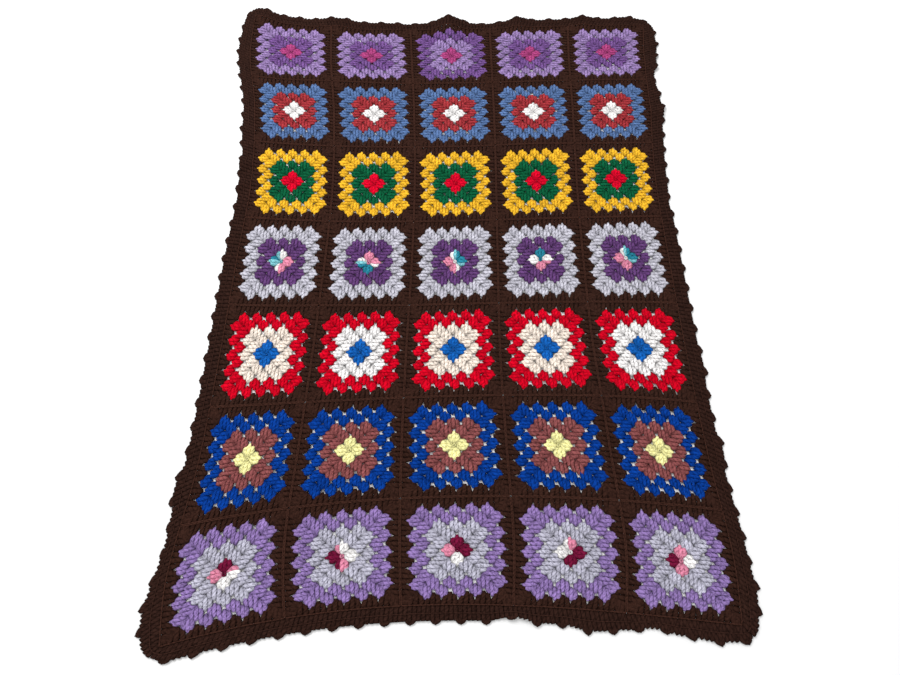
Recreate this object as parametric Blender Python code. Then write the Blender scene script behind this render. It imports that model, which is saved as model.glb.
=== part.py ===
# Crochet throw laid out flat: granny squares joined edge to edge, with a worked border round them.
# The throw lies on z = 0, +X across its width and +Y towards its first row of squares.
import math

import bmesh
import bpy
import numpy as np
from mathutils.geometry import delaunay_2d_cdt

# Driving sizes, in metres
SQUARE = 0.168          # one square from seam to seam
COLUMNS = 5
ROWS = 7
THICK = 0.005           # a layer of double crochet in worsted yarn
PARTING = 0.0003        # between two neighbouring pieces
BAND = 0.0230           # the border's two rounds, from the seam to the foot of its picots
PICOT_HIGH = 0.0065     # how far a picot stands out of the border
PICOT_FOOT = 0.0085     # half its width where it leaves the border
PICOT_TIP = 0.003       # half the width of its blunt tip
PICOT_SHOULDER = 0.8    # height of the shoulders beside the tip, as a share of the picot
EDGE_STEPS = 6          # straight steps along one edge of a square
CORNER_STEPS = 3        # steps from a side's last picot to the middle of the corner
LATTICE = 8             # steps across a square of the points that carry the folds
FLAT = 0.0004           # where the throw lifts less than this, it needs no such points

# The largest gaps of the lace: two on each side of a square, between the tips of its fifth round
GAP_LEVEL = 0.0640      # from the square's centre out to the gap
GAP_ASIDE = 0.0125      # half a cluster's pitch, to either side of the middle
GAP_WIDE = 0.0075
GAP_DEEP = 0.0055
GAP_CORNERS = 6

MERGE = 0.00001         # points nearer than this are one
HALF_WIDE = COLUMNS * SQUARE / 2
HALF_LONG = ROWS * SQUARE / 2
MM = 0.001

# How each line across the throw lies on the floor, in millimetres. "row" counts squares up from
# the throw's middle. With a running from -1 at the left seam to 1 at the right one, a point lies
# at x = its flat place + middle + wide a + skew a^2 + pinch a^3, y = up + tilt a + bow a^2 + swing a^3.
# Columns: row, middle, wide, skew, pinch, up, tilt, bow, swing.
LAY = (
    (3.65, -2, 17, 3, -11, 592, 12, 23, -24),
    (3.00, 1, 5, -9, -1, 495, 8, 18, -15),
    (2.00, 5, -12, -3, -1, 341, 7, 12, -13),
    (1.00, 6, -25, -3, -1, 172, 8, 11, -10),
    (0.00, 3, -26, -3, 4, 1, 8, 6, -9),
    (-1.00, -2, -15, 1, -2, -169, 8, -6, -8),
    (-2.00, -2, 7, 0, -15, -334, 8, -24, -4),
    (-3.00, 1, 17, -8, -7, -493, 2, -39, 10),
    (-3.65, 0, -11, -6, 14, -592, -3, -42, 13),
)
CENTRE = (-7.7, -9.73)  # middle of the laid throw's box, in millimetres from the middle of its pattern

# Where the border's edge lies further out or in than its plain width, in millimetres. Columns:
# side, the place along it from the throw's middle, half the stretch that it takes, how far out.
RIM = (
    ("left", -545, 45, 4),
    ("left", -450, 70, -8),
    ("left", -365, 35, 7),
    ("left", 190, 35, 3),
    ("left", 270, 60, 3),
    ("right", -540, 50, 4),
    ("right", -325, 35, 6),
    ("right", -190, 40, 3),
    ("right", 115, 35, -3),
    ("right", 335, 35, 4),
    ("right", 425, 45, -7),
    ("right", 520, 50, 5),
    ("top", -85, 35, -4),
    ("top", 75, 50, -7),
    ("bottom", 85, 40, -7),
    ("bottom", 205, 50, 6),
    ("bottom", 295, 40, -6),
    ("bottom", 380, 35, 3),
)

# Picots along each side, evenly from the first to the last, in millimetres from its middle.
# Columns: side, picots, first, last.
PICOTS = (
    ("bottom", 23, -413, 424),
    ("right", 32, -565, 565),
    ("top", 24, -395, 424),
    ("left", 34, -558, 593),
)

# Radius of each corner from the bottom left, anticlockwise, in millimetres
CORNERS = (("bottom left", 42), ("bottom right", 30), ("top right", 46), ("top left", 40))

# Soft ridges and swells where the throw lifts off the floor, in millimetres and degrees: smooth
# mounds. Columns: x, y, turn, half the length, half the breadth, height at the top.
FOLDS = (
    (-418, 612, 100, 110, 52, 11),
    (-248, 606, 95, 80, 60, 9),
    (-4, 604, 88, 120, 46, 18),
    (150, 606, 85, 70, 34, 9),
    (292, 612, 80, 70, 38, 7),
    (392, 622, 60, 60, 30, 5),
    (-432, 214, 10, 60, 22, 8),
    (-428, 168, 8, 60, 20, 7),
    (446, 470, -8, 55, 30, 6),
    (430, 345, 6, 55, 26, 5),
    (92, -600, 95, 60, 40, 4),
    (-230, 425, 20, 150, 80, 3),
    (170, 250, -30, 170, 90, 3),
    (-215, -70, 15, 130, 90, 3),
    (260, -240, -20, 160, 90, 3),
    (-260, -420, 35, 170, 100, 3),
)

# Yarn colour that shows most in each row of squares, first row first, and the border's.
# Columns: name, red, green, blue.
YARNS = (
    ("lilac yarn", 0.36, 0.22, 0.58),
    ("denim yarn", 0.08, 0.17, 0.40),
    ("gold yarn", 0.83, 0.41, 0.02),
    ("silver yarn", 0.50, 0.48, 0.60),
    ("scarlet yarn", 0.58, 0.005, 0.012),
    ("royal yarn", 0.01, 0.06, 0.32),
    ("violet yarn", 0.25, 0.15, 0.42),
)
BORDER_YARN = ("brown yarn", 0.018, 0.010, 0.008)
YARN_ROUGHNESS = 0.85


def clear_scene():
    for old in list(bpy.data.objects):
        bpy.data.objects.remove(old, do_unlink=True)


def smooth_rows(t):
    """Read the LAY table at t, with a cubic through its rows and straight on past its ends."""
    table = np.array(LAY, dtype=float)[::-1]
    rows, values = table[:, 0] * SQUARE, table[:, 1:] * MM
    slopes = np.gradient(values, rows, axis=0)
    inside = np.clip(t, rows[0], rows[-1])
    i = np.clip(np.searchsorted(rows, inside) - 1, 0, len(rows) - 2)
    step = (rows[i + 1] - rows[i])[:, None]
    w = (inside - rows[i])[:, None] / step
    here = (1 + 2 * w) * (1 - w) ** 2 * values[i] + w * w * (3 - 2 * w) * values[i + 1]
    lean = w * (1 - w) ** 2 * slopes[i] - w * w * (1 - w) * slopes[i + 1]
    past = (t - inside)[:, None] * np.where((t > 0)[:, None], slopes[-1], slopes[0])
    return (here + lean * step + past).T


def lay_down(points):
    """Move points of the flat pattern to where they lie on the floor."""
    s, t = np.asarray(points, dtype=float).T
    middle, wide, skew, pinch, up, tilt, bow, swing = smooth_rows(t)
    a = s / HALF_WIDE
    x = s + middle + wide * a + skew * a ** 2 + pinch * a ** 3
    y = up + tilt * a + bow * a ** 2 + swing * a ** 3
    return np.stack([x, y], axis=1)


def lift(x, y):
    """Height of the throw's underside over the floor at (x, y)."""
    height = np.zeros_like(x)
    for fold_x, fold_y, turn, long, broad, high in FOLDS:
        angle = math.radians(turn)
        dx, dy = x - fold_x * MM, y - fold_y * MM
        along = (dx * math.cos(angle) + dy * math.sin(angle)) / (long * MM)
        across = (dy * math.cos(angle) - dx * math.sin(angle)) / (broad * MM)
        mound = np.clip(1 - along ** 2 - across ** 2, 0, None)
        height += high * MM * mound ** 2
    return height


def rim_wave(side, at):
    """How much further out than its plain width the border's edge lies."""
    wave = np.zeros_like(at)
    for rim_side, rim_at, reach, out in RIM:
        if rim_side == side:
            wave += out * MM * np.clip(1 - ((at - rim_at * MM) / (reach * MM)) ** 2, 0, None) ** 2
    return wave


def side_point(side, place, height):
    """Points of the border's edge: place along one side, height out past the foot of its picots."""
    number = [row[0] for row in PICOTS].index(side)
    half_along, half_out = (HALF_WIDE, HALF_LONG) if number % 2 == 0 else (HALF_LONG, HALF_WIDE)
    before, after = CORNERS[number][1] * MM, CORNERS[(number + 1) % 4][1] * MM
    if number > 1:
        before, after = after, before
    inside = np.clip(place, before - half_along - BAND, half_along + BAND - after)
    radius = np.where(place < 0, before, after)
    theta = (place - inside) / radius
    along = inside + (radius + height) * np.sin(theta)
    out = half_out + BAND - radius + (radius + height) * np.cos(theta) + rim_wave(side, inside)
    x, y = ((along, -out), (out, along), (along, out), (-out, along))[number]
    return np.stack([x, y], axis=1)


def border_edge(number):
    """The border's outer edge along one side, from the middle of one corner to the next."""
    side, picots, first, last = PICOTS[number]
    centres = np.linspace(first, last, picots) * MM
    profile = np.array([(-PICOT_FOOT, 0.0), (-PICOT_TIP, PICOT_SHOULDER), (0.0, 1.0),
                        (PICOT_TIP, PICOT_SHOULDER), (PICOT_FOOT, 0.0)])
    place = (centres[:, None] + profile[:, 0]).ravel()
    height = np.tile(profile[:, 1] * PICOT_HIGH, picots)

    half = (HALF_WIDE, HALF_LONG)[number % 2] + BAND
    radii = [CORNERS[corner % 4][1] * MM for corner in (number, number + 1)]
    ends = [half - radius * (1 - math.pi / 4) for radius in (radii if number < 2 else radii[::-1])]
    low = np.linspace(-ends[0], place[0], CORNER_STEPS, endpoint=False)
    high = np.linspace(ends[1], place[-1], CORNER_STEPS, endpoint=False)[::-1]
    spare = low[1:] if number > 1 else low
    top = high if number > 1 else high[:-1]
    place = np.concatenate([spare, place, top])
    height = np.concatenate([np.zeros(len(spare)), height, np.zeros(len(top))])
    points = side_point(side, place, height)
    return points if number < 2 else points[::-1]


def seam_line(low, high, squares):
    """Points along a seam: EDGE_STEPS straight steps for each square that it passes."""
    inner = np.arange(1, squares * EDGE_STEPS) / (squares * EDGE_STEPS)
    middle = (low + high) / 2
    span = squares * SQUARE
    return np.concatenate([[low], middle + (inner - 0.5) * span])


def rectangle(x_low, x_high, y_low, y_high, columns, rows):
    """A closed outline, anticlockwise, with points along each of its four seams."""
    across = seam_line(x_low, x_high, columns)
    upward = seam_line(y_low, y_high, rows)
    bottom = np.stack([across, np.full_like(across, y_low)], axis=1)
    right = np.stack([np.full_like(upward, x_high), upward], axis=1)
    centre = np.array([x_low + x_high, y_low + y_high])
    return np.concatenate([bottom, right, centre - bottom, centre - right])


def lace_gaps(centre):
    """The outlines of a square's largest gaps, two on each of its sides."""
    turns = 2 * math.pi * (np.arange(GAP_CORNERS) + 0.5) / GAP_CORNERS
    ring = np.stack([np.cos(turns) * GAP_WIDE / 2, np.sin(turns) * GAP_DEEP / 2], axis=1)
    gaps = []
    for quarter in range(4):
        angle = quarter * math.pi / 2
        turn = np.array([[math.cos(angle), math.sin(angle)], [-math.sin(angle), math.cos(angle)]])
        for aside in (-GAP_ASIDE, GAP_ASIDE):
            gaps.append((ring + (aside, GAP_LEVEL)) @ turn + centre)
    return gaps


def yarn_material(name, red, green, blue):
    material = bpy.data.materials.get(name) or bpy.data.materials.new(name)
    material.use_nodes = True
    shader = material.node_tree.nodes["Principled BSDF"]
    shader.inputs["Base Color"].default_value = (red, green, blue, 1.0)
    shader.inputs["Roughness"].default_value = YARN_ROUGHNESS
    shader.inputs["Metallic"].default_value = 0.0
    return material


def rings_round(points, rings):
    """How many of the closed outlines go round each point."""
    count = np.zeros(len(points), dtype=int)
    x, y = points[:, 0, None], points[:, 1, None]
    for ring in rings:
        (x0, y0), (x1, y1) = ring.T, np.roll(ring, -1, axis=0).T
        spans = (y0 > y) != (y1 > y)
        rise = np.where(y1 == y0, 1.0, y1 - y0)
        count += (spans & (x < x0 + (y - y0) / rise * (x1 - x0))).sum(axis=1) % 2
    return count


def cloth_piece(name, outlines, inside, material, collection):
    """A sheet of crochet with the given flat outlines, laid on the floor and over its folds.

    The points inside stay only where a fold lifts them, and the sheet is thickened upwards.
    """
    rings = [lay_down(outline) for outline in outlines]
    edges, first = [], 0
    for ring in rings:
        count = len(ring)
        edges += [(first + i, first + (i + 1) % count) for i in range(count)]
        first += count
    lattice = lay_down(inside)
    lattice = lattice[lift(*lattice.T) > FLAT]
    corners = [tuple(point) for point in np.concatenate(rings + [lattice])]
    everywhere = 0
    filled = delaunay_2d_cdt(corners, edges, [], everywhere, MERGE)
    flat, faces = np.array(filled[0]), np.array(filled[2])
    faces = faces[rings_round(flat[faces].mean(axis=1), rings) == 1]

    mesh = bpy.data.meshes.new(name)
    under = np.column_stack([flat - np.array(CENTRE) * MM, lift(*flat.T)])
    mesh.from_pydata(under.tolist(), [], faces.tolist())
    bm = bmesh.new()
    bm.from_mesh(mesh)
    raised = bmesh.ops.extrude_face_region(bm, geom=bm.faces[:], use_keep_orig=True)
    top = [item for item in raised["geom"] if isinstance(item, bmesh.types.BMVert)]
    bmesh.ops.translate(bm, verts=top, vec=(0.0, 0.0, THICK))
    bmesh.ops.recalc_face_normals(bm, faces=bm.faces)
    bm.to_mesh(mesh)
    bm.free()
    mesh.materials.append(material)
    collection.objects.link(bpy.data.objects.new(name, mesh))


def granny_square(row, column, material, collection):
    """One square, row counted from the top and column from the left, with its gaps cut through."""
    centre = np.array([column - (COLUMNS - 1) / 2, (ROWS - 1) / 2 - row]) * SQUARE
    half = (SQUARE - PARTING) / 2
    outline = rectangle(-half, half, -half, half, 1, 1) + centre
    steps = (np.arange(1, LATTICE) / LATTICE - 0.5) * SQUARE
    lattice = np.stack(np.meshgrid(steps, steps), axis=-1).reshape(-1, 2)
    level = np.abs(lattice).max(axis=1)
    lattice = lattice[(level < GAP_LEVEL - GAP_WIDE) | (np.abs(lattice).min(axis=1) > 2 * GAP_ASIDE)]
    name = f"square_{row + 1}_{column + 1}"
    cloth_piece(name, [outline] + lace_gaps(centre), lattice + centre, material, collection)


def border(material, collection):
    """The border worked round the joined squares, in one piece with its picots."""
    outer = np.concatenate([border_edge(number) for number in range(4)])
    wide, long = HALF_WIDE + PARTING / 2, HALF_LONG + PARTING / 2
    inner = rectangle(-wide, wide, -long, long, COLUMNS, ROWS)
    wide, long = HALF_WIDE + BAND / 2, HALF_LONG + BAND / 2
    halfway = rectangle(-wide, wide, -long, long, COLUMNS, ROWS)
    cloth_piece("border", [outer, inner], halfway, material, collection)


def main():
    clear_scene()
    collection = bpy.data.collections.new("Crochet throw")
    bpy.context.scene.collection.children.link(collection)
    for row in range(ROWS):
        material = yarn_material(*YARNS[row])
        for column in range(COLUMNS):
            granny_square(row, column, material, collection)
    border(yarn_material(*BORDER_YARN), collection)


main()
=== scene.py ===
# Crochet throw laid out on a floor: granny squares and a picot border, worked in yarn stitch by stitch.
import math

import bpy
import numpy as np
from mathutils import Matrix


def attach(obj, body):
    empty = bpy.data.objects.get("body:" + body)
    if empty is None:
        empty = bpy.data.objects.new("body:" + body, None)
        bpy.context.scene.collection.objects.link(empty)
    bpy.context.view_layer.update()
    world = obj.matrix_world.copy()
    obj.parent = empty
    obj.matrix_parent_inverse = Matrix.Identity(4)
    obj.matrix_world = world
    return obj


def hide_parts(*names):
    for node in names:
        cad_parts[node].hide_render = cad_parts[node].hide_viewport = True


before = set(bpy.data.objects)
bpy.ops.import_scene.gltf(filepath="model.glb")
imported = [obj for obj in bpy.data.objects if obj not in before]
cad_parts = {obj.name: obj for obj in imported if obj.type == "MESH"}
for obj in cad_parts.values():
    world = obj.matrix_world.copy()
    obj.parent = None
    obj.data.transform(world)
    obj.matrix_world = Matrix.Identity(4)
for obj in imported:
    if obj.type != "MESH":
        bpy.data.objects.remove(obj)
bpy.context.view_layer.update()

mm = 0.001
print("frame loaded:", len(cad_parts), "nodes")

# How the throw lies, all in millimetres and degrees
throwLay = {
    "square": 168.0,  # one square from seam to seam
    "columns": 5,
    "rows": 7,
    "centre": (-7.7, -9.73),  # middle of the laid throw, from the middle of its pattern
    # row counted up from the middle, then middle, wide, skew, pinch, up, tilt, bow, swing
    "lines": (
        (3.65, -2, 17, 3, -11, 592, 12, 23, -24),
        (3.00, 1, 5, -9, -1, 495, 8, 18, -15),
        (2.00, 5, -12, -3, -1, 341, 7, 12, -13),
        (1.00, 6, -25, -3, -1, 172, 8, 11, -10),
        (0.00, 3, -26, -3, 4, 1, 8, 6, -9),
        (-1.00, -2, -15, 1, -2, -169, 8, -6, -8),
        (-2.00, -2, 7, 0, -15, -334, 8, -24, -4),
        (-3.00, 1, 17, -8, -7, -493, 2, -39, 10),
        (-3.65, 0, -11, -6, 14, -592, -3, -42, 13),
    ),
    # soft ridges and swells: x, y, turn, half its length, half its breadth, height
    "folds": (
        (-418, 612, 100, 110, 52, 11),
        (-248, 606, 95, 80, 60, 9),
        (-4, 604, 88, 120, 46, 18),
        (150, 606, 85, 70, 34, 9),
        (292, 612, 80, 70, 38, 7),
        (392, 622, 60, 60, 30, 5),
        (-432, 214, 10, 60, 22, 8),
        (-428, 168, 8, 60, 20, 7),
        (446, 470, -8, 55, 30, 6),
        (430, 345, 6, 55, 26, 5),
        (92, -600, 95, 60, 40, 4),
        (-230, 425, 20, 150, 80, 3),
        (170, 250, -30, 170, 90, 3),
        (-215, -70, 15, 130, 90, 3),
        (260, -240, -20, 160, 90, 3),
        (-260, -420, 35, 170, 100, 3),
    ),
}
halfWide = throwLay["columns"] * throwLay["square"] / 2
halfLong = throwLay["rows"] * throwLay["square"] / 2


# value at t = the cubic through the rows of the table, its slopes from the rows on both sides,
# and a straight line on past the first and the last row
def readLines(t):
    table = np.array(throwLay["lines"], dtype=float)[::-1]
    rows, values = table[:, 0] * throwLay["square"], table[:, 1:]
    slopes = np.gradient(values, rows, axis=0)
    inside = np.clip(t, rows[0], rows[-1])
    i = np.clip(np.searchsorted(rows, inside) - 1, 0, len(rows) - 2)
    step = (rows[i + 1] - rows[i])[:, None]
    w = (inside - rows[i])[:, None] / step
    here = (1 + 2 * w) * (1 - w) ** 2 * values[i] + w * w * (3 - 2 * w) * values[i + 1]
    lean = w * (1 - w) ** 2 * slopes[i] - w * w * (1 - w) * slopes[i + 1]
    past = (t - inside)[:, None] * np.where((t > 0)[:, None], slopes[-1], slopes[0])
    return (here + lean * step + past).T


# height = sum over the folds of high (1 - along^2 - across^2)^2, where that bracket is over nothing
def liftAt(x, y):
    height = np.zeros_like(x)
    for foldX, foldY, turn, long, broad, high in throwLay["folds"]:
        angle = math.radians(turn)
        dx, dy = x - foldX, y - foldY
        along = (dx * math.cos(angle) + dy * math.sin(angle)) / long
        across = (dy * math.cos(angle) - dx * math.sin(angle)) / broad
        height += high * np.clip(1 - along ** 2 - across ** 2, 0, None) ** 2
    return height


# with a = s / half the width: x = s + middle + wide a + skew a^2 + pinch a^3,
# y = up + tilt a + bow a^2 + swing a^3, z = its height in the cloth + the folds there; out in metres
def layDown(points):
    s, t, high = points.T
    middle, wide, skew, pinch, up, tilt, bow, swing = readLines(t)
    a = s / halfWide
    x = s + middle + wide * a + skew * a ** 2 + pinch * a ** 3
    y = up + tilt * a + bow * a ** 2 + swing * a ** 3
    centreX, centreY = throwLay["centre"]
    return np.stack([x - centreX, y - centreY, high + liftAt(x, y)], axis=1) * mm


# Yarn colours as red, green and blue from 0 to 255
yarnColours = {
    "magenta": (177, 70, 129),
    "plum": (122, 86, 149),
    "deep purple": (102, 66, 120),
    "lilac": (160, 133, 187),
    "white": (252, 249, 248),
    "brick": (170, 56, 62),
    "denim": (92, 121, 170),
    "crimson": (220, 6, 43),
    "emerald": (12, 95, 60),
    "gold": (245, 188, 48),
    "silver": (201, 199, 211),
    "bright blue": (22, 98, 184),
    "cream": (252, 237, 223),
    "scarlet": (214, 4, 35),
    "lemon": (255, 249, 174),
    "rosewood": (142, 80, 80),
    "royal": (8, 61, 150),
    "grey": (190, 188, 205),
    "violet": (149, 122, 182),
    "brown": (55, 33, 26),
    # the brown yarn again, drawn a little darker as painted shade on the border
    "shaded brown": (51, 31, 25),
}

# Colours that the variegated yarn runs through
dyeColours = {
    "p": (228, 140, 168),  # pink
    "t": (44, 136, 160),  # teal
    "a": (128, 198, 208),  # aqua
    "w": (252, 249, 248),  # white
    "b": (118, 22, 58),  # burgundy
}

yarnFinish = {
    "roughness": 0.9,
    "specular": 0.04,
    "plies": 3.0,  # strands twisted into the yarn
    "plyPitch": 0.0055,  # metres along the yarn for one full twist of a ply
    "bump": 0.45,
    "bumpDepth": 0.0007,
    "fuzz": 0.5,
    "fuzzScale": 1500.0,
    "grooves": 2.0,  # wraps that show round a stitch
    "groovePitch": 0.0085,
    "grooveRange": (-1.0, -0.2),  # part of the winding's wave that is groove
    # painted shade in the grooves between the wraps
    "grooveShade": 0.3,
    "patchScale": 45.0,
    "patchDetail": 3.0,
    "patchRange": (0.88, 1.12),
    "pitScale": 380.0,  # painted shade in hollows among the stitches
    "pitDetail": 1.0,
    "pitRange": (0.34, 0.5),
    "pitShade": 0.4,
    "sideShade": 0.8,  # painted shade halfway up a post
    "topLightUnderShade": 0.2,  # and how much painted light on its top, and painted shade on its underside
}


# linear = ((c + 0.055) / 1.055)^2.4 for c over 0.04045, and c / 12.92 below it
def linearColour(colour):
    c = np.array(colour) / 255.0
    return np.where(c > 0.04045, ((c + 0.055) / 1.055) ** 2.4, c / 12.92)


# sin(2 pi (turns u + v / pitch)) of the strand's own map
def windingNode(nodes, links, apart, turns, pitch):
    around = nodes.new("ShaderNodeMath")
    around.operation = "MULTIPLY"
    around.inputs[1].default_value = 2 * math.pi * turns
    links.new(apart.outputs["X"], around.inputs[0])
    twist = nodes.new("ShaderNodeMath")
    twist.operation = "MULTIPLY_ADD"
    twist.inputs[1].default_value = 2 * math.pi / pitch
    links.new(apart.outputs["Y"], twist.inputs[0])
    links.new(around.outputs["Value"], twist.inputs[2])
    wave = nodes.new("ShaderNodeMath")
    wave.operation = "SINE"
    links.new(twist.outputs["Value"], wave.inputs[0])
    return wave


# first x second
def productNode(nodes, links, first, second):
    product = nodes.new("ShaderNodeMath")
    product.operation = "MULTIPLY"
    links.new(first, product.inputs[0])
    links.new(second, product.inputs[1])
    return product.outputs["Value"]


# from one tone to the other as the value given runs over its range, with soft ends
def rangeNode(nodes, links, value, valueRange, toneRange):
    spread = nodes.new("ShaderNodeMapRange")
    spread.interpolation_type = "SMOOTHSTEP"
    spread.inputs["From Min"].default_value, spread.inputs["From Max"].default_value = valueRange
    spread.inputs["To Min"].default_value, spread.inputs["To Max"].default_value = toneRange
    links.new(value, spread.inputs["Value"])
    return spread.outputs["Result"]


# colour = the yarn's own (or its dye) x its tone with painted shade x a soft patchiness x painted shade in
# the grooves between the wraps x painted shade in pits, bump = plies and fuzz
def yarnMaterial(name, dyed=False):
    material = bpy.data.materials.new(name + " yarn")
    material.use_nodes = True
    nodes, links = material.node_tree.nodes, material.node_tree.links
    shader = nodes["Principled BSDF"]
    shader.inputs["Roughness"].default_value = yarnFinish["roughness"]
    shader.inputs["Specular IOR Level"].default_value = yarnFinish["specular"]

    where = nodes.new("ShaderNodeTexCoord")
    patch = nodes.new("ShaderNodeTexNoise")
    patch.inputs["Scale"].default_value = yarnFinish["patchScale"]
    patch.inputs["Detail"].default_value = yarnFinish["patchDetail"]
    links.new(where.outputs["Object"], patch.inputs["Vector"])
    pit = nodes.new("ShaderNodeTexNoise")
    pit.inputs["Scale"].default_value = yarnFinish["pitScale"]
    pit.inputs["Detail"].default_value = yarnFinish["pitDetail"]
    links.new(where.outputs["Object"], pit.inputs["Vector"])
    # the points' tone, with painted shade in it
    toneAndShade = nodes.new("ShaderNodeAttribute")
    toneAndShade.attribute_name = "toneAndShade"
    strand = nodes.new("ShaderNodeUVMap")
    strand.uv_map = "strand"
    apart = nodes.new("ShaderNodeSeparateXYZ")
    links.new(strand.outputs["UV"], apart.inputs["Vector"])
    wraps = windingNode(nodes, links, apart, yarnFinish["grooves"], yarnFinish["groovePitch"])
    patches = rangeNode(nodes, links, patch.outputs["Fac"], (0.0, 1.0), yarnFinish["patchRange"])
    # painted shade in the grooves between the wraps
    grooveShadeRange = (1.0 - yarnFinish["grooveShade"], 1.0)
    grooves = rangeNode(nodes, links, wraps.outputs["Value"], yarnFinish["grooveRange"], grooveShadeRange)
    # painted shade in pits among the stitches
    pitShadeRange = (1.0 - yarnFinish["pitShade"], 1.0)
    pits = rangeNode(nodes, links, pit.outputs["Fac"], yarnFinish["pitRange"], pitShadeRange)
    shade = productNode(nodes, links, toneAndShade.outputs["Fac"], patches)
    shade = productNode(nodes, links, shade, grooves)
    shade = productNode(nodes, links, shade, pits)
    tint = nodes.new("ShaderNodeVectorMath")
    tint.operation = "SCALE"
    if dyed:
        dye = nodes.new("ShaderNodeAttribute")
        dye.attribute_name = "dye"
        links.new(dye.outputs["Color"], tint.inputs[0])
    else:
        tint.inputs[0].default_value = tuple(linearColour(yarnColours[name]))
    links.new(shade, tint.inputs["Scale"])
    links.new(tint.outputs["Vector"], shader.inputs["Base Color"])

    ply = windingNode(nodes, links, apart, yarnFinish["plies"], yarnFinish["plyPitch"])
    fuzz = nodes.new("ShaderNodeTexNoise")
    fuzz.inputs["Scale"].default_value = yarnFinish["fuzzScale"]
    links.new(where.outputs["Object"], fuzz.inputs["Vector"])
    height = nodes.new("ShaderNodeMath")
    height.operation = "MULTIPLY_ADD"
    height.inputs[1].default_value = yarnFinish["fuzz"]
    links.new(fuzz.outputs["Fac"], height.inputs[0])
    links.new(ply.outputs["Value"], height.inputs[2])
    bump = nodes.new("ShaderNodeBump")
    bump.inputs["Strength"].default_value = yarnFinish["bump"]
    bump.inputs["Distance"].default_value = yarnFinish["bumpDepth"]
    links.new(height.outputs["Value"], bump.inputs["Height"])
    links.new(bump.outputs["Normal"], shader.inputs["Normal"])
    return material


yarns = {name: yarnMaterial(name) for name in yarnColours}
yarns["variegated"] = yarnMaterial("variegated", dyed=True)
print("yarns mixed:", len(yarns))

# How a strand of yarn is meshed
strandMesh = {
    "wrapShift": 0.0037,  # metres that each post is wound on from the one before
    "postSides": 6,
    "chainSides": 5,
    "floorGap": 0.1,  # millimetres between the floor and the lowest yarn
}


# point = path + radius (cos q side + flatness sin q up) + slant radius cos q along, with side level and at
# right angles to the path, and q once round; a loop joins its last ring to its first, else both ends are
# capped, and what would sink under the floor lies flat on it
def tubes(paths, radii, sides, slant=0.0, flatness=1.0, loop=False):
    count, rings = radii.shape
    if loop:
        along = np.roll(paths, -1, axis=1) - np.roll(paths, 1, axis=1)
    else:
        along = np.gradient(paths, axis=1)
    steps = np.linalg.norm(np.diff(paths, axis=1, append=paths[:, :1]), axis=2)
    start = np.arange(count)[:, None] * strandMesh["wrapShift"]  # no two neighbours wind alike
    length = start + np.concatenate([np.zeros((count, 1)), np.cumsum(steps, axis=1)], axis=1) * mm
    along /= np.linalg.norm(along, axis=2, keepdims=True)
    side = np.cross(along, (0.0, 0.0, 1.0))
    side /= np.linalg.norm(side, axis=2, keepdims=True)
    up = np.cross(side, along)
    q = 2 * math.pi * np.arange(sides) / sides
    ring = np.cos(q)[:, None] * side[:, :, None] + flatness * np.sin(q)[:, None] * up[:, :, None]
    ring = ring + slant * np.cos(q)[:, None] * along[:, :, None]
    points = paths[:, :, None] + radii[:, :, None, None] * ring
    points[..., 2] = np.maximum(points[..., 2], strandMesh["floorGap"])

    spans = rings if loop else rings - 1
    n, i, j = np.meshgrid(np.arange(count), np.arange(spans), np.arange(sides), indexing="ij")
    here, there = i * sides, (i + 1) % rings * sides
    near, far = j, (j + 1) % sides
    corner = np.stack([here + near, there + near, there + far, here + far], -1)
    quads = (n[..., None] * rings * sides + corner).reshape(-1, 4)
    u = np.stack([j, j, j + 1, j + 1], -1) / sides
    v = np.stack([length[n, i], length[n, i + 1], length[n, i + 1], length[n, i]], -1)
    ends = np.zeros((0, sides), dtype=int)
    if not loop:
        first = np.arange(count)[:, None] * rings * sides + np.arange(sides)
        ends = np.concatenate([first, (first + (rings - 1) * sides)[:, ::-1]])
    return {
        "points": points.reshape(-1, 3),
        "quads": quads,
        "map": np.stack([u, v], -1).reshape(-1, 2),
        "ends": ends,
        "owner": np.repeat(np.arange(count), rings * sides),
        "ring": np.tile(np.repeat(np.arange(rings), sides), count),
        "high": np.tile(np.sin(q), count * rings),
        "aside": np.tile(np.cos(q), count * rings),
        "quadOwner": n.ravel(),
        "endOwner": np.tile(np.arange(count), 2) if not loop else np.zeros(0, dtype=int),
    }


# tone with painted shade of every point = its post's own tone x the painted shade of its ring
def postToneAndShade(made, toneAndShade, shade):
    return toneAndShade[made["owner"]] * np.array(shade)[made["ring"]]
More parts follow.
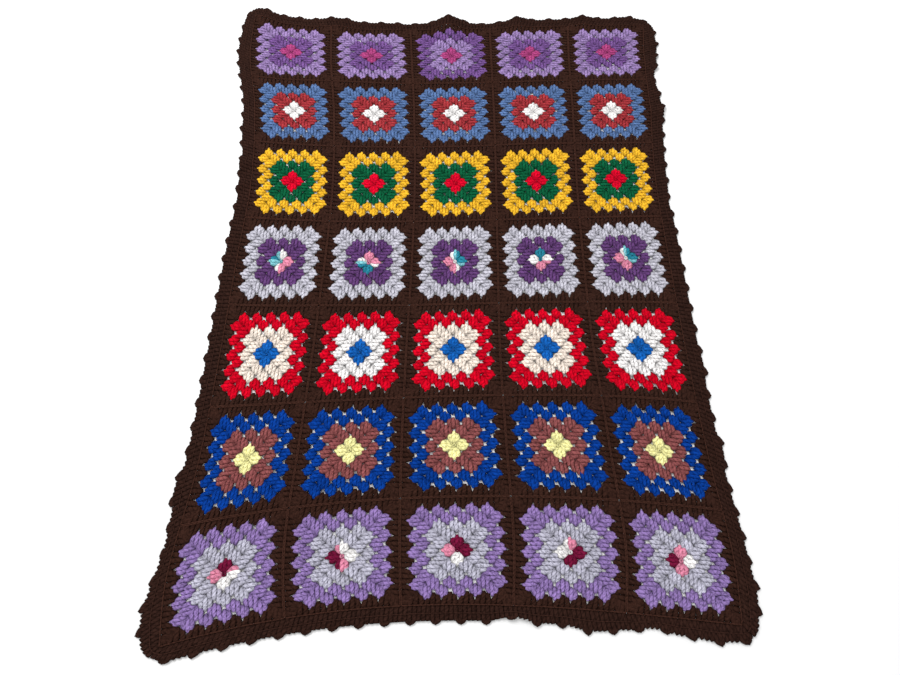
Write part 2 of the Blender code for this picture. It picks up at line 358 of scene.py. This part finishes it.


# one mesh of all the tubes given, each with the yarn number and dye of its posts and the tone of its points,
# with painted shade that fades it towards the underside
def yarnPiece(name, batches, yarnNames):
    points, quads, ends, quadYarn, endYarn, strandMap, tonesAndShades, dyes = [], [], [], [], [], [], [], []
    first = 0
    for made, yarn, toneAndShade, dye in batches:
        points.append(made["points"])
        quads.append(made["quads"] + first)
        ends.append(made["ends"] + first)
        quadYarn.append(yarn[made["quadOwner"]])
        endYarn.append(yarn[made["endOwner"]])
        strandMap.append(made["map"])
        # painted light on top of each post, painted shade on its sides and underside
        tonesAndShades.append(toneAndShade * (yarnFinish["sideShade"] + yarnFinish["topLightUnderShade"] * made["high"]))
        dyes.append(dye[made["owner"]])
        first += len(made["points"])
    points, quads = layDown(np.concatenate(points)), np.concatenate(quads)
    ends = [e for e in ends if len(e)]
    endCorners = [e.ravel() for e in ends]
    endSizes = np.concatenate([np.full(len(e), e.shape[1]) for e in ends])
    corners = np.concatenate([quads.ravel()] + endCorners)
    sizes = np.concatenate([np.full(len(quads), 4), endSizes])

    mesh = bpy.data.meshes.new(name)
    mesh.vertices.add(len(points))
    mesh.vertices.foreach_set("co", points.ravel())
    mesh.loops.add(len(corners))
    mesh.loops.foreach_set("vertex_index", corners.astype(np.int32))
    mesh.polygons.add(len(sizes))
    mesh.polygons.foreach_set("loop_start", (np.cumsum(sizes) - sizes).astype(np.int32))
    mesh.polygons.foreach_set("material_index", np.concatenate(quadYarn + endYarn).astype(np.int32))
    mesh.update(calc_edges=True)
    mesh.polygons.foreach_set("use_smooth", np.ones(len(sizes), dtype=bool))
    uv = np.zeros((len(corners), 2))
    uv[:quads.size] = np.concatenate(strandMap)
    mesh.uv_layers.new(name="strand").data.foreach_set("uv", uv.ravel())
    mesh.attributes.new("toneAndShade", "FLOAT", "POINT").data.foreach_set("value", np.concatenate(tonesAndShades))
    if "variegated" in yarnNames:
        dye = np.column_stack([np.concatenate(dyes), np.ones(len(points))])
        mesh.attributes.new("dye", "FLOAT_COLOR", "POINT").data.foreach_set("color", dye.ravel())
    for yarnName in yarnNames:
        mesh.materials.append(yarns[yarnName])
    mesh.validate()
    piece = bpy.data.objects.new(name, mesh)
    bpy.context.scene.collection.objects.link(piece)
    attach(piece, "root")
    return piece


# Granny squares: sizes in millimetres, all on the side of a square that faces its top
squareStitches = {
    # for each coloured round: tip, how deep its foot reaches into the round before, how much later its two
    # outer posts start and how much short of the tip they end, the spacing of its three posts at foot, belly
    # and head, their radius at the same places, and the turn of its tips in degrees
    "rounds": (
        (24.0, 21.2, 0.0, 2.2, 1.7, 7.2, 4.6, 2.0, 4.2, 3.1, 0.4),
        (35.0, 8.2, 2.0, 1.8, 4.0, 7.4, 5.2, 2.5, 3.9, 3.0, 0.7),
        (47.2, 8.0, 2.0, 2.0, 4.0, 7.4, 5.2, 2.5, 3.9, 3.0, 1.0),
        (60.0, 8.0, 2.0, 1.4, 4.0, 7.4, 5.2, 2.5, 3.9, 2.8, 1.4),
        (72.6, 8.4, 2.0, 3.0, 4.4, 7.4, 4.4, 2.4, 3.9, 2.9, 1.8),
    ),
    "lean": 2.2,  # the left post of a cluster ends this much higher again, the right one lower
    # slacker rows: how wide the clusters of the fourth and fifth rounds are beside the others, and how much
    # further out the brown feet are
    "loose": {3: (0.96, 0.94, 0.3), 5: (0.94, 0.9, 1.0), 6: (0.93, 0.9, 0.9), 7: (1.0, 0.96, 0.4)},
    "pitch": 25.0,  # between two clusters
    "cornerSpace": 12.2,  # each round's corner space is this much further out both ways
    "bellyAt": 0.46,
    "heights": (1.6, 3.0, 2.5),  # of a post's middle line, at foot, belly and head
    "flatness": 0.4,  # how high a post is, as a share of its width
    "along": (0.0, 0.1, 0.3, 0.5, 0.7, 0.9, 1.0),  # rings of one post
    "lumps": (0.6, 0.94, 1.07, 0.88, 1.07, 0.94, 0.62),  # wraps of yarn round the post
    "wrapSlant": 0.15,
    "wander": 0.5,  # how far a cluster strays
    "wideSpread": 0.03,  # how much clusters differ in width, as a share
    "riseSpread": 0.15,  # and posts in height
    "clusterTones": 0.04,  # how much clusters differ in tone
    "postTones": 0.03,  # and the posts in them
    # the brown round: clusters of three posts per side, the posts' spacing at foot and head, the share of
    # their length in which they spread, how far out the feet and the heads lie, then heights and radii at
    # foot, belly and head
    "brownClusters": 6,
    "brownFan": 4.4,
    "brownPitch": 8.5,
    "brownSpread": 0.6,
    "brownFeet": (66.0, 63.0, 66.0),
    "brownHead": 82.8,
    "brownHeights": (2.0, 2.7, 2.5),
    "brownRadii": (3.5, 4.0, 4.6),
    "brownLumps": (0.6, 0.92, 1.04, 0.88, 1.04, 0.95, 0.78),
    "brownEnd": 3.0,  # the first and the last fan of a side start this much further in
    "brownCorner": 62.5,  # no foot lies further out along a side than this
    # its posts worked into each corner space: foot x and y, head x and y
    "cornerPosts": ((63.0, 63.0, 82.0, 82.0), (62.0, 65.0, 76.5, 82.0), (65.0, 62.0, 82.0, 76.5)),
    "chainAt": 82.95,  # the chain edge, out from the middle
    "chainsPerSide": 24,
    "chainPoints": 3,  # of the path, for each chain stitch
    "chainRadius": 1.3,
    "chainFlatness": 0.6,
    "chainHigh": 4.0,
    "chainWave": 0.35,  # how far a chain stitch rises out of this height
    "chainBead": 0.08,  # and how much thicker it is, as a share
    # painted highlight: the chain is drawn lighter than its brown yarn
    "chainHighlight": 1.5,
    "ringRadius": 2.3,
    "ringYarn": 1.6,
    "ringPoints": 12,
    "ringHigh": 2.4,
    # painted shade: the centre ring is drawn darker than its yarn
    "ringShade": 0.8,
    # for each of the six rounds: which of the square's four yarns it is worked in, and its shade
    "yarnOfRound": (0, 1, 1, 2, 2, 3),
    "shadeOfRound": ("centreShade", "shade", "shade", "shade", "shade", "brownShade"),
    # painted shade of a post along its way, from its foot, in the shadow of the round before, to its head
    "shade": (0.42, 0.66, 0.98, 1.08, 1.08, 1.02, 0.82),
    "centreShade": (0.75, 0.88, 1.0, 1.08, 1.08, 1.0, 0.82),
    "brownShade": (0.7, 0.85, 1.0, 1.0, 1.0, 0.9, 0.6),
    "flankShade": 0.5,  # painted shade: how much darker the two flanks of a cluster are
}

# Centre, inner and outer yarn of each row of squares, from the top, and the record's slot
squareRows = (
    ("magenta", "plum", "lilac", "lilac_yarn"),
    ("white", "brick", "denim", "denim_yarn"),
    ("crimson", "emerald", "gold", "gold_yarn"),
    ("variegated", "deep purple", "silver", "silver_yarn"),
    ("bright blue", "cream", "scarlet", "scarlet_yarn"),
    ("lemon", "rosewood", "royal", "royal_yarn"),
    ("variegated", "grey", "violet", "violet_yarn"),
)

# Squares whose yarns differ from their row's, by row and column
oddSquares = {
    (1, 3): ("magenta", "lilac", "plum"),
    (5, 2): ("bright blue", "white", "scarlet"),
    (5, 5): ("bright blue", "white", "scarlet"),
}

# Dyes of the twelve posts of each variegated centre, clockwise from the top petal's left one
variegatedCentres = {
    (4, 1): "awwpppppwaat",
    (4, 2): "pppppwttttaw",
    (4, 3): "watttawppppp",
    (4, 4): "tttwwppppwww",
    (4, 5): "watttapppppp",
    (7, 1): "bbbpwwwwwppp",
    (7, 2): "pwwwwwppbbbb",
    (7, 3): "bbbbbbwwwppp",
    (7, 4): "wppbbbbbbwww",
    (7, 5): "pppwwwpppbbb",
}

clusterPosts = np.array([-1.0, 0.0, 1.0])  # the three posts of a cluster, counted from its middle one


# turn about the square's middle: (x cos - y sin, x sin + y cos)
def turned(points, degrees):
    angle = np.radians(degrees)
    x, y = points[..., 0], points[..., 1]
    across = x * np.cos(angle) - y * np.sin(angle)
    return np.stack([across, x * np.sin(angle) + y * np.cos(angle), points[..., 2]], axis=-1)


# post = foot + (tip - foot) t + spacing(t) m to the side, for m = -1, 0 and 1 in each cluster, all round;
# an outer post starts later and ends short + lean m before the tip
def colouredPosts(number, draw, loose):
    size = squareStitches
    tip, deep, later, short, foot, belly, head, thin, fat, blunt, turn = size["rounds"][number]
    inner = size["rounds"][number - 1] if number else (0.0,) * len(size["rounds"][0])
    clusters = number + 1
    middles = (np.arange(clusters) - number / 2) * size["pitch"]
    footX, footY = middles.copy(), np.full(clusters, inner[0] - deep if number else tip - deep)
    if number:
        corner = size["cornerSpace"] * number
        footX[0], footX[-1], footY[0], footY[-1] = -corner, corner, corner, corner

    t = np.array(size["along"])
    knots = (0.0, size["bellyAt"], 1.0)
    spacing = np.interp(t, knots, (foot, belly, head))
    radius = np.interp(t, knots, (thin, fat, blunt)) * size["lumps"]
    height = np.interp(t, knots, size["heights"])
    m = clusterPosts[None, :, None]
    paths = []
    for quarter in range(4):
        stray = draw.normal(0.0, size["wander"], (clusters, 2))
        wide = draw.normal(loose, size["wideSpread"], (clusters, 1, 1))
        low = np.stack([footX, footY], -1)
        high = np.stack([middles, np.full(clusters, tip)], -1) + stray
        length = np.linalg.norm(high - low, axis=1)[:, None]
        way = (high - low) / length
        across = np.stack([way[:, 1], -way[:, 0]], -1)
        cut = (later + short) * np.abs(m) + size["lean"] * m * (number > 0)
        begun = later * np.abs(m) + (length[:, None] - cut) * t
        flat = low[:, None, None] + way[:, None, None] * begun[..., None]
        flat = flat + across[:, None, None] * (m * spacing * wide)[..., None]
        rise = height + draw.normal(0.0, size["riseSpread"], (clusters, len(clusterPosts), 1))
        points = np.concatenate([flat, rise[..., None]], axis=-1)
        points = turned(points, inner[-1] + (turn - inner[-1]) * t)
        paths.append(turned(points, -90.0 * quarter).reshape(-1, len(t), 3))
    paths = np.concatenate(paths)
    return paths, np.tile(radius, (len(paths), 1))


# brown posts: x = foot + (head - foot) t / spread up to t = spread, y = foot + (head - foot) t, in fans of
# three with their feet together and moved out where the row is slack, and a fan in each corner
def brownPosts(draw, moved):
    size = squareStitches
    clusters = size["brownClusters"]
    middles = np.repeat((np.arange(clusters) - (clusters - 1) / 2) * size["pitch"], len(clusterPosts))
    m = np.tile(clusterPosts, clusters)
    footX = np.clip(middles + m * size["brownFan"], -size["brownCorner"], size["brownCorner"])
    moves = np.full(clusters, moved)
    moves[[0, -1]] = -size["brownEnd"]
    footY = np.tile(size["brownFeet"], clusters) + np.repeat(moves, len(clusterPosts))
    headX = middles + m * size["brownPitch"]
    side = np.stack([footX, footY, headX, np.full(len(footX), size["brownHead"])], -1)
    table = np.concatenate([side, size["cornerPosts"]])
    t = np.array(size["along"])
    knots = (0.0, size["bellyAt"], 1.0)
    radius = np.interp(t, knots, size["brownRadii"]) * size["brownLumps"]
    height = np.interp(t, knots, size["brownHeights"])
    share = np.stack([np.minimum(t / size["brownSpread"], 1.0), t], -1)
    flat = table[:, None, :2] + (table[:, None, 2:] - table[:, None, :2]) * share
    posts = np.concatenate([flat, np.broadcast_to(height[:, None], flat.shape[:2] + (1,))], axis=-1)
    posts = turned(posts, size["rounds"][-1][-1] * (1 - t))
    paths = np.concatenate([turned(posts, -90.0 * quarter) for quarter in range(4)])
    paths[..., 2] += draw.normal(0.0, size["riseSpread"], (len(paths), 1))
    return paths, np.tile(radius, (len(paths), 1))


# chain edge along the seams: once round the square, and for each chain stitch its height swells by
# wave cos and its radius by bead cos
def chainEdge():
    size = squareStitches
    steps = size["chainsPerSide"] * size["chainPoints"]
    share = (np.arange(steps) + 0.5) / steps
    x = (share * 2 - 1) * size["chainAt"]
    bead = np.cos(2 * math.pi * np.arange(steps) / size["chainPoints"])
    high = size["chainHigh"] + size["chainWave"] * bead
    side = np.stack([x, np.full(steps, size["chainAt"]), high], -1)
    path = np.concatenate([turned(side, -90.0 * quarter) for quarter in range(4)])
    radius = size["chainRadius"] * (1 + size["chainBead"] * np.tile(bead, 4))
    return path[None], radius[None]


# ring that the first round is worked into: (radius cos q, radius sin q), with q once round clockwise
def centreRing():
    size = squareStitches
    count, radius = size["ringPoints"], size["ringRadius"]
    q = -2 * math.pi * np.arange(count) / count
    path = np.stack([radius * np.cos(q), radius * np.sin(q), np.full(count, size["ringHigh"])], -1)
    return path[None], np.full((1, count), size["ringYarn"])


# square = five coloured rounds + a brown one + its chain edge + its ring, moved to its place in the pattern;
# painted shade on an outer post's outer flank: its tone x (1 - the flank's shade x how far round it faces)
def grannySquare(row, column):
    size = squareStitches
    draw = np.random.default_rng(100 * row + column)
    place = (column - (throwLay["columns"] + 1) / 2, (throwLay["rows"] + 1) / 2 - row, 0.0)
    centre = np.array(place) * throwLay["square"]
    middle, inner, outer = oddSquares.get((row, column), squareRows[row - 1][:3])
    batches = []
    fourth, fifth, moved = size["loose"].get(row, (1.0, 1.0, 0.0))
    widths = (1.0, 1.0, 1.0, fourth, fifth)
    worked = [colouredPosts(number, draw, wide) for number, wide in enumerate(widths)]
    worked.append(brownPosts(draw, moved))
    for number, (paths, radii) in enumerate(worked):
        clusters = len(paths) // len(clusterPosts)
        toneAndShade = np.repeat(draw.normal(1.0, size["clusterTones"], clusters), len(clusterPosts))
        toneAndShade = toneAndShade + draw.normal(0.0, size["postTones"], len(paths))
        dye = np.ones((len(paths), 3))
        if number == 0 and middle == "variegated":
            dye = np.array([linearColour(dyeColours[c]) for c in variegatedCentres[row, column]])
        tube = tubes(paths + centre, radii, strandMesh["postSides"], size["wrapSlant"], size["flatness"])
        # painted shade along each post, by its round
        toneAndShade = postToneAndShade(tube, toneAndShade, size[size["shadeOfRound"][number]])
        if number < len(widths):
            # painted shade on the outer flanks of each cluster
            outward = np.tile(clusterPosts, clusters)[tube["owner"]] * tube["aside"]
            toneAndShade *= 1 - size["flankShade"] * np.clip(outward, 0, None)
        batches.append((tube, np.full(len(paths), size["yarnOfRound"][number]), toneAndShade, dye))
    startDye = batches[0][3][:1]  # the ring is of the first post's colour
    loops = (
        # painted highlight on the chain edge
        (chainEdge(), size["yarnOfRound"][-1], size["chainHighlight"]),
        # painted shade on the ring
        (centreRing(), size["yarnOfRound"][0], size["ringShade"]),
    )
    sides, flatness = strandMesh["chainSides"], size["chainFlatness"]
    for (path, radius), yarn, toneAndShade in loops:
        tube = tubes(path + centre, radius, sides, flatness=flatness, loop=True)
        batches.append((tube, np.full(1, yarn), np.full(len(tube["points"]), toneAndShade), startDye))
    name = f"square_{row}_{column}"
    piece = yarnPiece(name + "_yarn", batches, [middle, inner, outer, "brown"])
    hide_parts(name)
    return piece


rowNumbers, columnNumbers = range(1, throwLay["rows"] + 1), range(1, throwLay["columns"] + 1)
squares = [grannySquare(row, column) for row in rowNumbers for column in columnNumbers]
print("squares worked:", len(squares), "polygons each about", len(squares[0].data.polygons))

# Border: two rounds of posts and the picots, in millimetres
borderStitches = {
    "seed": 7,
    "band": 23.0,  # from the seam to the foot of the picots
    "postPitch": 7.0,
    "rounds": ((-0.6, 11.9), (10.7, 22.9)),  # foot and head of each round's posts, out from the seam
    "postRadius": 3.76,
    "flatness": 0.36,
    "heights": (2.2, 2.9, 2.7),  # of a post's middle line, at foot, belly and head
    "bellyAt": 0.5,
    "along": (0.0, 0.15, 0.4, 0.6, 0.85, 1.0),
    "lumps": (0.88, 0.98, 1.02, 0.98, 1.0, 0.88),
    "wrapSlant": 0.1,
    "sway": 0.2,  # how far a post strays along the edge
    "postTones": 0.05,  # how much posts differ in tone
    "chainAt": 11.5,  # a line of chain stitches between the two rounds
    "chainRadius": 1.0,
    "chainFlatness": 0.6,
    "chainHigh": 4.0,
    "chainWave": 0.3,  # how far a chain stitch rises out of this height
    "chainBead": 0.15,  # and how much thicker it is, as a share
    # painted highlight: the chain is drawn lighter than its brown yarn
    "chainHighlight": 1.4,
    # each picot's three posts: place of foot and head along the edge, and how far out its head reaches
    "picotPosts": ((-5.8, -1.6, 27.6), (0.0, 0.0, 29.0), (5.8, 1.6, 27.6)),
    "picotFoot": 20.6,
    "picotHeights": (3.0, 3.2, 2.6),
    "picotHigh": 6.5,  # how far a picot stands out of the band
    "picotArea": 63.7,  # square millimetres of one picot
    "picotRadius": (2.6, 3.2, 3.2, 2.7, 1.9, 0.9),
    "shade": (0.65, 0.95, 1.0, 1.0, 0.95, 0.65),  # painted shade along a post, from foot to head
    # side, picots, first and last place from its middle
    "picots": (
        ("bottom", 23, -413, 424),
        ("right", 32, -565, 565),
        ("top", 24, -395, 424),
        ("left", 34, -558, 593),
    ),
    "corners": (42.0, 30.0, 46.0, 40.0),  # from the bottom left, anticlockwise
    "leastCorner": 0.01,  # the seam's own corners are as good as sharp
    # side, place along it, half the stretch, how far out
    "rim": (
        ("left", -545, 45, 4), ("left", -450, 70, -8), ("left", -365, 35, 7), ("left", 190, 35, 3),
        ("left", 270, 60, 3), ("right", -540, 50, 4), ("right", -325, 35, 6), ("right", -190, 40, 3),
        ("right", 115, 35, -3), ("right", 335, 35, 4), ("right", 425, 45, -7), ("right", 520, 50, 5),
        ("top", -85, 35, -4), ("top", 75, 50, -7), ("bottom", 85, 40, -7), ("bottom", 205, 50, 6),
        ("bottom", 295, 40, -6), ("bottom", 380, 35, 3),
    ),
}


# radius of the corners before and after a side at v out from the seam: corner v / band
def cornerRadii(number, v):
    corners = borderStitches["corners"]
    before, after = corners[number], corners[(number + 1) % 4]
    if number > 1:
        before, after = after, before
    return before * v / borderStitches["band"], after * v / borderStitches["band"]


# half the side's edge at v, to the middle of its corner: half the side + v - r (1 - pi / 4)
def sideEnds(number, v):
    half = (halfWide, halfLong)[number % 2]
    before, after = cornerRadii(number, v)
    return half + v - before * (1 - math.pi / 4), half + v - after * (1 - math.pi / 4)


# place = along the foot of the picots; at v it shrinks with the edge, goes straight, then round the corner
# by angle = the rest / r, and the rim's waves push it out by out (1 - ((place - at) / reach)^2)^2 v / band
def borderPoint(number, place, v, high):
    side, band = borderStitches["picots"][number][0], borderStitches["band"]
    halfAlong, halfOut = (halfWide, halfLong) if number % 2 == 0 else (halfLong, halfWide)
    before, after = cornerRadii(number, v)
    full, here = sideEnds(number, band), sideEnds(number, v)
    place = place * np.where(place < 0, here[0] / full[0], here[1] / full[1])
    inside = np.clip(place, before - halfAlong - v, halfAlong + v - after)
    radius = np.maximum(np.where(place < 0, before, after), borderStitches["leastCorner"])
    theta = (place - inside) / radius
    wave = np.zeros_like(place)
    for rimSide, rimAt, reach, out in borderStitches["rim"]:
        if rimSide == side:
            wave += out * np.clip(1 - ((inside - rimAt) / reach) ** 2, 0, None) ** 2
    along = inside + radius * np.sin(theta)
    outward = halfOut + v - radius + radius * np.cos(theta) + wave * v / band
    x, y = ((along, -outward), (outward, along), (along, outward), (-outward, along))[number]
    return np.stack([x, y, high + 0 * x], axis=-1)


# places of the posts along a side, evenly from corner to corner
def postPlaces(number):
    low, high = sideEnds(number, borderStitches["band"])
    count = round((low + high) / borderStitches["postPitch"])
    return -low + (np.arange(count) + 0.5) / count * (low + high)


# border = on each side two rounds of posts, each v = foot + (head - foot) t out from the seam, and three
# posts leaning together for each picot, then one line of chain stitches round all four sides
def border():
    size = borderStitches
    draw = np.random.default_rng(size["seed"])
    t = np.array(size["along"])
    knots = (0.0, size["bellyAt"], 1.0)
    height = np.interp(t, knots, size["heights"])
    picotHeight = np.interp(t, knots, size["picotHeights"])
    worked = (strandMesh["postSides"], size["wrapSlant"], size["flatness"])
    batches, chain = [], []
    for number in range(4):
        places = postPlaces(number)
        for foot, head in size["rounds"]:
            v = np.tile(foot + (head - foot) * t, (len(places), 1))
            sway = draw.normal(0.0, size["sway"], (len(places), 1))
            paths = borderPoint(number, places[:, None] + sway, v, height)
            radii = np.tile(size["postRadius"] * np.array(size["lumps"]), (len(places), 1))
            batches.append((tubes(paths, radii, *worked), len(places)))
        picots, first, last = size["picots"][number][1:]
        middles = np.linspace(first, last, picots)[:, None]
        for footAt, headAt, reach in size["picotPosts"]:
            v = np.tile(size["picotFoot"] + (reach - size["picotFoot"]) * t, (picots, 1))
            at = middles + footAt + (headAt - footAt) * t
            paths = borderPoint(number, at, v, picotHeight)
            radii = np.tile(size["picotRadius"], (picots, 1))
            batches.append((tubes(paths, radii, *worked), picots))
        low, high = sideEnds(number, size["band"])
        steps = 2 * len(places)  # a thick and a thin place of the chain for each post
        at = -low + (np.arange(steps) + 0.5) / steps * (low + high)
        bead = np.cos(math.pi * np.arange(steps))
        points = borderPoint(number, at, size["chainAt"], size["chainHigh"] + size["chainWave"] * bead)
        chain.append(points if number < 2 else points[::-1])
    made = []
    for tube, posts in batches:
        tonesAndShades = draw.normal(1.0, size["postTones"], posts)
        # painted shade along each post
        tonesAndShades = postToneAndShade(tube, tonesAndShades, size["shade"])
        made.append((tube, np.zeros(posts, dtype=int), tonesAndShades, np.ones((posts, 3))))
    path = np.concatenate(chain)[None]
    bead = np.cos(math.pi * np.arange(path.shape[1]))
    radius = size["chainRadius"] * (1 + size["chainBead"] * bead)
    tube = tubes(path, radius[None], strandMesh["chainSides"], flatness=size["chainFlatness"], loop=True)
    # painted highlight on the chain
    tonesAndShades = np.full(len(tube["points"]), size["chainHighlight"])
    made.append((tube, np.zeros(1, dtype=int), tonesAndShades, np.ones((1, 3))))
    piece = yarnPiece("border_yarn", made, ["shaded brown"])
    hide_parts("border")
    return piece


edging = border()
print("border worked:", len(edging.data.polygons), "polygons")

# Floor, light and camera, in metres and degrees, and the lens in millimetres
studio = {
    "floorSize": 9.0,
    "floorColour": (0.88, 0.88, 0.88, 1.0),
    "floorRoughness": 0.9,
    "world": 0.82,
    "keyPower": 76.0,
    "keyPlace": (-1.3, 1.5, 2.6),
    "keySize": 1.8,
    "cameraPlace": (-0.0061, -0.46577, 0.904),
    "elevation": 69.99,
    "azimuth": -1.133,
    "roll": 0.733,
    "lens": 22.0,
    "sensorWidth": 36.0,
    "clipStart": 0.01,
}


# a plain square, from minus to plus half its size both ways
def paleFloor():
    half = studio["floorSize"] / 2
    mesh = bpy.data.meshes.new("floor")
    corners = [(-half, -half, 0), (half, -half, 0), (half, half, 0), (-half, half, 0)]
    mesh.from_pydata(corners, [], [(0, 1, 2, 3)])
    material = bpy.data.materials.new("pale floor")
    material.use_nodes = True
    shader = material.node_tree.nodes["Principled BSDF"]
    shader.inputs["Base Color"].default_value = studio["floorColour"]
    shader.inputs["Roughness"].default_value = studio["floorRoughness"]
    mesh.materials.append(material)
    floor = bpy.data.objects.new("floor", mesh)
    bpy.context.scene.collection.objects.link(floor)


# axes from azimuth a and elevation e: back = (sin a cos e, -cos a cos e, sin e), then rolled about it
def photoCamera():
    e, a, r = (math.radians(studio[key]) for key in ("elevation", "azimuth", "roll"))
    back = np.array([math.sin(a) * math.cos(e), -math.cos(a) * math.cos(e), math.sin(e)])
    right = np.cross(-back, (0.0, 0.0, 1.0))
    right /= np.linalg.norm(right)
    up = np.cross(right, -back)
    axes = (math.cos(r) * right + math.sin(r) * up, math.cos(r) * up - math.sin(r) * right, back)
    lens = bpy.data.cameras.new("camera")
    lens.lens = studio["lens"]
    lens.sensor_width = studio["sensorWidth"]
    lens.clip_start = studio["clipStart"]
    camera = bpy.data.objects.new("camera", lens)
    placed = np.eye(4)
    placed[:3, :3], placed[:3, 3] = np.array(axes).T, studio["cameraPlace"]
    camera.matrix_world = Matrix(placed.tolist())
    bpy.context.scene.collection.objects.link(camera)
    bpy.context.scene.camera = camera


# an even white world, and a round lamp that looks at the origin: its back = its place / its distance
def softLight():
    world = bpy.data.worlds.new("studio")
    world.use_nodes = True
    world.node_tree.nodes["Background"].inputs["Color"].default_value = (1.0, 1.0, 1.0, 1.0)
    world.node_tree.nodes["Background"].inputs["Strength"].default_value = studio["world"]
    bpy.context.scene.world = world
    key = bpy.data.lights.new("key", "AREA")
    key.energy = studio["keyPower"]
    key.shape = "DISK"
    key.size = studio["keySize"]
    lamp = bpy.data.objects.new("key", key)
    lamp.location = studio["keyPlace"]
    back = np.array(studio["keyPlace"]) / np.linalg.norm(studio["keyPlace"])
    side = np.cross((0.0, 1.0, 0.0), back)
    side /= np.linalg.norm(side)
    aim = Matrix(np.array((side, np.cross(back, side), back)).T.tolist())
    lamp.rotation_euler = aim.to_euler()
    bpy.context.scene.collection.objects.link(lamp)


paleFloor()
softLight()
photoCamera()
bpy.context.scene.view_settings.view_transform = "Standard"
print("studio set")
